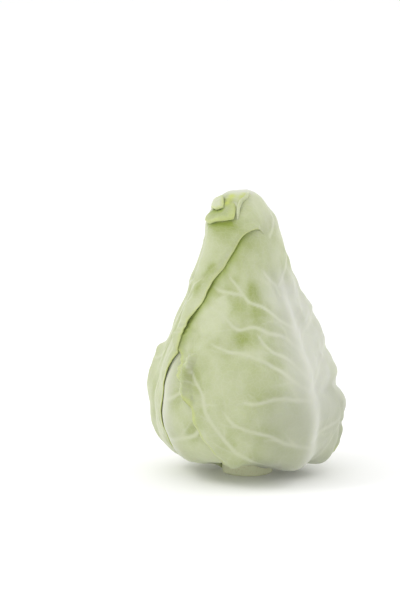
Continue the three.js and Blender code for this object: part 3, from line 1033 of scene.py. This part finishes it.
def rim_roll(places, hood_map):
    """A tube along a few places, thinner at its ends, closed at both."""
    curve = smooth_curve(np.array(places), RIM_RINGS)
    theta, share = curve[:, 0] / DEGREES, curve[:, 1]
    height = sample(hood_map, theta, share) + curve[:, 2]
    middle = on_head(theta, share, height)
    ahead = np.gradient(middle, axis=0)
    ahead /= np.linalg.norm(ahead, axis=1, keepdims=True)
    outward = on_head(theta, share, height + 1) - middle
    across = np.cross(ahead, outward)
    across /= np.linalg.norm(across, axis=1, keepdims=True)
    ends = np.linspace(-1, 1, RIM_RINGS)
    radius = RIM_RADIUS * (0.15 + 0.85 * np.sqrt(1 - ends**4))[:, None, None]
    turn = around(RIM_SIDES)[None, :, None]
    round_it = np.cos(turn) * across[:, None] + 1.2 * np.sin(turn) * outward[:, None]
    rings = middle[:, None] + radius * round_it
    points = rings.reshape(-1, 3)
    values = {key: np.full(len(points), float(value)) for key, value in RIM_VALUES.items()}
    values["flat"] = points.copy()
    return points, tube_faces(RIM_RINGS, RIM_SIDES), values


def join_sheets(sheets):
    """Several sheets as the points, faces and values of one piece."""
    points, faces, values, first = [], [], {}, 0
    for sheet_points, sheet_face_list, sheet_values in sheets:
        points.append(sheet_points)
        faces += [[corner + first for corner in face] for face in sheet_face_list]
        for key, value in sheet_values.items():
            values.setdefault(key, []).append(value)
        first += len(sheet_points)
    joined = {key: np.concatenate(value) for key, value in values.items()}
    return np.concatenate(points), faces, joined


print("a fold has", 2 * FOLD_GRID**2, "places and the rim", RIM_RINGS * RIM_SIDES)

# %% [markdown]
# ## The finish of the leaves
#
# A cabbage leaf is pale because it grew in the dark of the leaves over it, and greener where
# light reached it. Veins and the midrib are nearly white. Wax makes the skin a little cloudy
# and gives it a soft sheen, and light goes some way into the blade, so a little subsurface
# scattering keeps the shadows from going grey.
#
# These helpers keep the material itself short. Most of them add one node and link its inputs.

# %% Node helpers
def new_material(name):
    material = bpy.data.materials.new(name)
    material.use_nodes = True
    return material, material.node_tree, material.node_tree.nodes["Principled BSDF"]


def node(tree, kind, **settings):
    made = tree.nodes.new(kind)
    for key, value in settings.items():
        setattr(made, key, value)
    return made


def value_of(tree, name):
    return node(tree, "ShaderNodeAttribute", attribute_name=name).outputs["Fac"]


def math_node(tree, operation, a, b):
    made = node(tree, "ShaderNodeMath", operation=operation)
    for socket, value in zip(made.inputs, (a, b)):
        if isinstance(value, (int, float)):
            socket.default_value = value
        else:
            tree.links.new(value, socket)
    return made.outputs[0]


def between(tree, value, low, high, to_low=0.0, to_high=1.0):
    made = node(tree, "ShaderNodeMapRange", interpolation_type="SMOOTHSTEP")
    tree.links.new(value, made.inputs["Value"])
    limits = {"From Min": low, "From Max": high, "To Min": to_low, "To Max": to_high}
    for name, number in limits.items():
        made.inputs[name].default_value = number
    return made.outputs["Result"]


def add_bump(tree, skin, height, strength, distance):
    bump = node(tree, "ShaderNodeBump")
    bump.inputs["Strength"].default_value = strength
    bump.inputs["Distance"].default_value = distance
    tree.links.new(height, bump.inputs["Height"])
    tree.links.new(bump.outputs["Normal"], skin.inputs["Normal"])


def blend(tree, factor, first, second):
    """Mixes two colours, each a socket or a colour written as sRGB numbers of 0 to 255."""
    made = node(tree, "ShaderNodeMix", data_type="RGBA")
    tree.links.new(factor, made.inputs["Factor"])
    for socket, colour in ((made.inputs["A"], first), (made.inputs["B"], second)):
        if isinstance(colour, tuple):
            socket.default_value = (*linear(colour), 1)
        else:
            tree.links.new(colour, socket)
    return made.outputs["Result"]


def linear(colour):
    """A colour of 0 to 255 as the shader's linear numbers."""
    shares = [c / 255 for c in colour]
    return [c / 12.92 if c <= 0.04045 else ((c + 0.055) / 1.055) ** 2.4 for c in shares]


print("mid grey as a linear number:", round(linear((128,))[0], 3))

# %% [markdown]
# ## The skin, layer by layer
#
# The shader reads the values stored on the vertices. It starts from pale skin and green fields
# and lays one tone after another over them. The finest net of veins is too small for the mesh,
# so it comes from a Voronoi texture in the leaf's own plane, and gives both a faint tone and a
# little bump. Each layer is a value, its greatest strength and a tone. Several paint light and
# shade into the skin: the pale side is partly painted light, the tone low on that side and the
# deep green are painted shade, and the yellow-green of the margins and of the tip's hollows is
# partly painted light. The last one is for the hidden inner face, which is greener, so that the
# shade in the gaps between the leaves looks green as if lit through them: painted light.

# %% The leaf's waxy green skin
LEAF_PALE = (184, 190, 154)
FIELD_GREEN = (146, 157, 90)
VEIN_PALE = (206, 208, 188)
RIB_PALE = (203, 204, 193)
# A yellow-green along the margins: partly the thin edge's own tone, partly painted light through
# it.
RIM_LIGHT = (184, 194, 120)
# A green for the hidden inner face, so the shade in the gaps looks lit through the leaves: painted
# light.
INSIDE_GREEN = (176, 188, 92)
# A pale grey for the right side: partly its own tone, partly painted light.
PALE_AND_LIT_SIDE = (192, 193, 184)
# A darker tone low on the right side: painted shade.
LOW_SHADE_TONE = (150, 153, 134)
# A bright yellow-green for the tip's hollows: partly own tone, partly painted light through thin
# tissue.
FRESH_GLOW_GREEN = (182, 194, 70)
# A deep green: painted shade under the hood's margin and painted shadow below the tip's folds.
PAINTED_SHADE_GREEN = (128, 146, 24)
SKIN_LAYERS = [
    ("net", 0.12, VEIN_PALE), ("pale", 0.8, PALE_AND_LIT_SIDE), ("dull", 0.5, LOW_SHADE_TONE),
    ("branch", 0.3, VEIN_PALE), ("vein", 0.38, VEIN_PALE), ("rib", 0.55, RIB_PALE),
    ("fresh", 0.85, FRESH_GLOW_GREEN), ("deep", 0.8, PAINTED_SHADE_GREEN), ("rim", 0.6, RIM_LIGHT),
    ("inside", 0.85, INSIDE_GREEN),
]
SKIN_SETTINGS = {
    "Subsurface Weight": 0.2, "Subsurface Radius": (0.8, 1.0, 0.35), "Subsurface Scale": 0.004,
    "Specular IOR Level": 0.4, "Sheen Weight": 0.25, "Sheen Roughness": 0.5,
}


def leaf_material(name):
    """Leaf skin from the values on the vertices, with a net of fine veins."""
    material, tree, skin = new_material(name)
    flat = node(tree, "ShaderNodeAttribute", attribute_name="flat").outputs["Vector"]
    net = node(tree, "ShaderNodeTexVoronoi", feature="DISTANCE_TO_EDGE")
    net.inputs["Scale"].default_value = 0.32
    tree.links.new(flat, net.inputs["Vector"])
    made = {
        "net": between(tree, net.outputs["Distance"], 0.0, 0.1, 1, 0),
        # The margin's yellow-green, partly painted light.
        "rim": between(tree, value_of(tree, "out"), 0.95, 0.995),
    }
    colour = blend(tree, value_of(tree, "green"), LEAF_PALE, FIELD_GREEN)
    for layer, most, tone in SKIN_LAYERS:
        strength = made[layer] if layer in made else value_of(tree, layer)
        colour = blend(tree, math_node(tree, "MULTIPLY", strength, most), colour, tone)
    tree.links.new(colour, skin.inputs["Base Color"])

    grain = node(tree, "ShaderNodeTexNoise")
    grain.inputs["Scale"].default_value = 1.4
    grain.inputs["Detail"].default_value = 4
    tree.links.new(flat, grain.inputs["Vector"])
    height = math_node(tree, "MULTIPLY_ADD", made["net"], 0.6)
    tree.links.new(grain.outputs["Fac"], height.node.inputs[2])
    add_bump(tree, skin, height, 0.16, 0.0006)
    roughness = between(tree, grain.outputs["Fac"], 0.3, 0.7, 0.44, 0.56)
    tree.links.new(roughness, skin.inputs["Roughness"])
    for key, value in SKIN_SETTINGS.items():
        skin.inputs[key].default_value = value
    return material


print(len(SKIN_LAYERS), "layers of tone")

# %% [markdown]
# ## The heart
#
# Inside the wrappers is the heart, a tight body of young leaves. Only its underside shows,
# between the feet of the wrappers, but it is finished all round, because someone may take the
# leaves away. It uses the same outline, with two young leaves as steps on it.

# %% Heart heights
HEART_LEAVES = [
    dict(azimuth=110, plus=70, minus=70, tip=88, phase=1, rib=3, lift=0, ruffle=0),
    dict(azimuth=260, plus=68, minus=72, tip=90, phase=4, rib=3, lift=0, ruffle=0),
]
for leaf in HEART_LEAVES:
    leaf["veins"] = leaf_veins(leaf)
HEART_STEP = 1.3
HEART_STEP_SPREAD = 7.0
HEART_ROWS = 190
HEART_COLUMNS = 220
HEART_RELIEF = 0.6


def heart_height(theta, share, fine):
    """Height of the heart over the outline, fine veins too if asked, and its leaves' marks."""
    height = np.zeros_like(theta)
    marks = {key: np.zeros_like(theta) for key in SHADED}
    for leaf in HEART_LEAVES:
        p, q = to_plane(leaf["azimuth"], theta, share)
        inside = smoothstep((half_width(leaf, p, q) - np.abs(q)) / HEART_STEP_SPREAD)
        inside = np.where(p < leaf["tip"], inside, 0)
        height = height + HEART_STEP * inside
        _, found = relief(leaf, p, q)
        for key in SHADED:
            marks[key] = np.where(inside > 0.5, found[key], marks[key])
    if fine:
        height = height - HEART_RELIEF * (1 - marks["vein"]) * ramp(share, 0.96, 0.88)
    return height, marks


heart_map, _ = heart_height(column_angles, ring_shares, fine=False)
print("heart stands up to", round(float(heart_map.max()), 2), "mm over its outline")

# %% [markdown]
# ## The heart's mesh
#
# The heart is a tube of rings from the stem's socket to the tip. The socket that the stem sits
# in is a few more rings turned inward, so the underside has no open edge. Each of those is a
# share of the bore and a height over the heart's base. Only the top one, a small ring of its
# own, has its radius in millimetres.
#
# `dress` is used for every piece: it rides with the head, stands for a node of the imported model
# and gets its finish.

# %% Heart mesh
HEART_TOP = 0.9995
HEART_SOCKET = [(0.5, 48), (0.72, 24), (1, 8)]
SOCKET_TOP = (0.4, 59)


def make_heart():
    """Points, faces and values of the heart with the stem's socket."""
    shares = np.linspace(stem_share, HEART_TOP, HEART_ROWS)[:, None] * np.ones((1, HEART_COLUMNS))
    angles = np.ones((HEART_ROWS, 1)) * around(HEART_COLUMNS)
    height, marks = heart_height(angles, shares, fine=True)
    socket = [SOCKET_TOP] + [(bore * share, up) for share, up in HEART_SOCKET]
    turn, level = angles[0], np.ones(HEART_COLUMNS)
    rings = [
        np.stack([r * np.cos(turn), r * np.sin(turn), (HEART_FOOT + up) * level], -1)
        for r, up in socket
    ]
    points = np.concatenate([np.array(rings), on_head(angles, shares, height)])
    blank = np.zeros((len(socket), HEART_COLUMNS))
    values = {key: np.concatenate([blank, marks[key]]).ravel() for key in SHADED}
    flat = np.stack([shares * arc_length, angles * 40, np.zeros_like(shares)], -1)
    values["flat"] = np.concatenate([np.zeros((*blank.shape, 3)), flat]).reshape(-1, 3)
    return points.reshape(-1, 3), tube_faces(len(points), HEART_COLUMNS), values


def dress(piece, replaced, material):
    """A piece rides with the head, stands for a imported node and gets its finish."""
    piece.data.materials.append(material)
    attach(piece, "root")
    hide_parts(replaced)
    triangles = sum(len(f.vertices) - 2 for f in piece.data.polygons)
    print(piece.name, "has", triangles, "triangles")


heart = make_piece("heart_body", *make_heart())
dress(heart, "heart", leaf_material("heart skin"))

# %% [markdown]
# ## Laying the wrappers
#
# Now the leaves go on one by one, each on the height map that the last one left. The folds of
# the tip go on after the hood, and are joined to its mesh, since they are the same leaf.

# %% Wrapper leaves
height_map = heart_map
wrapper_skin = leaf_material("wrapper leaf skin")
for leaf in LEAVES:
    sheet, height_map = lay_leaf(leaf, height_map)
    sheets = [sheet]
    if leaf is HOOD:
        sheets += [fold_sheet(fold, height_map) for fold in FOLDS]
        sheets.append(rim_roll(RIM, height_map))
    piece = make_piece(leaf["name"] + "_blade", *join_sheets(sheets))
    dress(piece, leaf["name"], wrapper_skin)

# %% [markdown]
# ## The stem
#
# The head was cut off its stalk with a knife, and stands on the cut. The cut face shows a ring
# of fibres round a paler pith. It is turned like wood on a lathe: a profile goes round the
# axis, and small waves keep it from being a perfect circle.

# %% Stem mesh
STEM_COLUMNS = 144
STEM_EDGE = 1.2
STEM_BEVEL = (0.4, 0.25)
STEM_SIDE_ROWS = 9
STEM_CORE = [(1, 8), (0.72, 24), (0.5, 48), (0.03, 58)]
PITH_ROWS, PITH_ENDS = 22, 0.9
PITH_HOLLOW, PITH_RINGS, PITH_RING_BEAT = 0.12, 0.1, 26
FIBRE_DEPTH = 0.12


def make_stem():
    """Points, faces and values of the stem: cut face, edge, side and the core in the heart."""
    shares = np.linspace(0.02, PITH_ENDS, PITH_ROWS)
    rises = PITH_HOLLOW * (1 - shares) ** 2 + PITH_RINGS * np.sin(shares * PITH_RING_BEAT) ** 2
    pith = list(zip(shares * STEM_RADIUS, rises))
    inset, rise = STEM_BEVEL
    edge = [(STEM_RADIUS - STEM_EDGE, 0), (STEM_RADIUS - inset, rise), (STEM_RADIUS, STEM_EDGE)]
    side = [(STEM_RADIUS, STEM_EDGE + i) for i in range(1, STEM_SIDE_ROWS + 1)]
    core = [(share * STEM_RADIUS, HEART_FOOT + up) for share, up in STEM_CORE]
    profile = np.array(pith + edge + side + core)
    angles = around(STEM_COLUMNS)
    radius, z = [profile[:, i : i + 1] * np.ones((1, STEM_COLUMNS)) for i in (0, 1)]
    fibres = FIBRE_DEPTH * np.abs(noise(angles * 9 + 0 * radius, z / 6, 91))
    radius = radius - fibres * ramp(radius, 12, 16)
    points = np.stack([radius * np.cos(angles), radius * np.sin(angles), z], -1)
    ring = (radius / STEM_RADIUS).ravel()
    return points.reshape(-1, 3), tube_faces(len(profile), STEM_COLUMNS), dict(ring=ring)


stem = make_piece("cut_stem", *make_stem())
print("the stem has", len(stem.data.vertices), "places")

# %% [markdown]
# ## The stem's finish
#
# The tones go by the distance from the axis: pale pith, greener wood, a light skin. A fine
# noise in the object's own space browns some fibres and makes them stand out a little.

# %% Cut stem material
PITH_TONE, WOOD_TONE = (236, 233, 212), (222, 224, 192)
SKIN_TONE, FIBRE_TONE = (214, 218, 182), (196, 184, 146)


def stem_material():
    """Wood and pith of the cut stem, by the distance from its axis."""
    material, tree, skin = new_material("cut stem")
    ring = value_of(tree, "ring")
    place = node(tree, "ShaderNodeTexCoord").outputs["Object"]
    fibre = node(tree, "ShaderNodeTexNoise")
    fibre.inputs["Scale"].default_value = 900
    fibre.inputs["Detail"].default_value = 3
    tree.links.new(place, fibre.inputs["Vector"])
    colour = blend(tree, between(tree, ring, 0.55, 0.8), PITH_TONE, WOOD_TONE)
    colour = blend(tree, between(tree, ring, 0.93, 1.0, 0, 0.8), colour, SKIN_TONE)
    colour = blend(tree, between(tree, fibre.outputs["Fac"], 0.5, 0.75, 0, 0.5), colour, FIBRE_TONE)
    tree.links.new(colour, skin.inputs["Base Color"])
    add_bump(tree, skin, fibre.outputs["Fac"], 0.4, 0.0005)
    skin.inputs["Roughness"].default_value = 0.65
    return material


dress(stem, "stem", stem_material())

# %% [markdown]
# ## Floor and light
#
# The studio is as plain as it can be: a wide white floor, a white surround and two soft round
# lamps. The surround lights the head from all sides. The larger lamp, at the upper left, models
# the form, and the weaker one, at the right and a little behind, keeps that side bright.

# %% Floor, surround and lamps
FLOOR_SIZE = 30.0
FLOOR_WHITE = 0.95
SURROUND = 1.06
LAMPS_AIM_AT = (0, 0, 0.09)
LAMPS = [("key", (-1.2, -0.2, 1.3), 0.9, 7.5), ("rim", (1.2, 0.3, 1.0), 0.8, 3.4)]


def make_floor():
    bpy.ops.mesh.primitive_plane_add(size=FLOOR_SIZE, location=(0, 0, 0))
    floor = bpy.context.object
    floor.name = "floor"
    material, _, skin = new_material("white floor")
    skin.inputs["Base Color"].default_value = (FLOOR_WHITE, FLOOR_WHITE, FLOOR_WHITE, 1)
    skin.inputs["Roughness"].default_value = 0.9
    floor.data.materials.append(material)
    floor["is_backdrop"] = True


def make_lamp(name, place, size, power):
    data = bpy.data.lights.new(name, "AREA")
    data.shape = "DISK"
    data.size = size
    data.energy = power
    lamp = bpy.data.objects.new(name, data)
    bpy.context.collection.objects.link(lamp)
    lamp.location = place
    beam = Vector(LAMPS_AIM_AT) - Vector(place)
    lamp.rotation_mode = "QUATERNION"
    lamp.rotation_quaternion = beam.to_track_quat("-Z", "Y")


make_floor()
world = bpy.data.worlds.new("surround")
world.use_nodes = True
background = world.node_tree.nodes["Background"]
background.inputs["Color"].default_value = (1, 1, 1, 1)
background.inputs["Strength"].default_value = SURROUND
bpy.context.scene.world = world
for lamp in LAMPS:
    make_lamp(*lamp)
bpy.context.scene.view_settings.view_transform = "Standard"
print("lamps:", [lamp[0] for lamp in LAMPS])

# %% [markdown]
# ## Measure and finish
#
# The dressed head must keep the imported model's size, so both boxes are measured and their sizes
# printed.

# %% Sizes and the last line
dressed_box = [list(corner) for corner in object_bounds()]
for axis in range(3):
    packed = cad_box[1][axis] - cad_box[0][axis]
    dressed = dressed_box[1][axis] - dressed_box[0][axis]
    print("xyz"[axis], "packed", round(packed, 4), "dressed", round(dressed, 4))
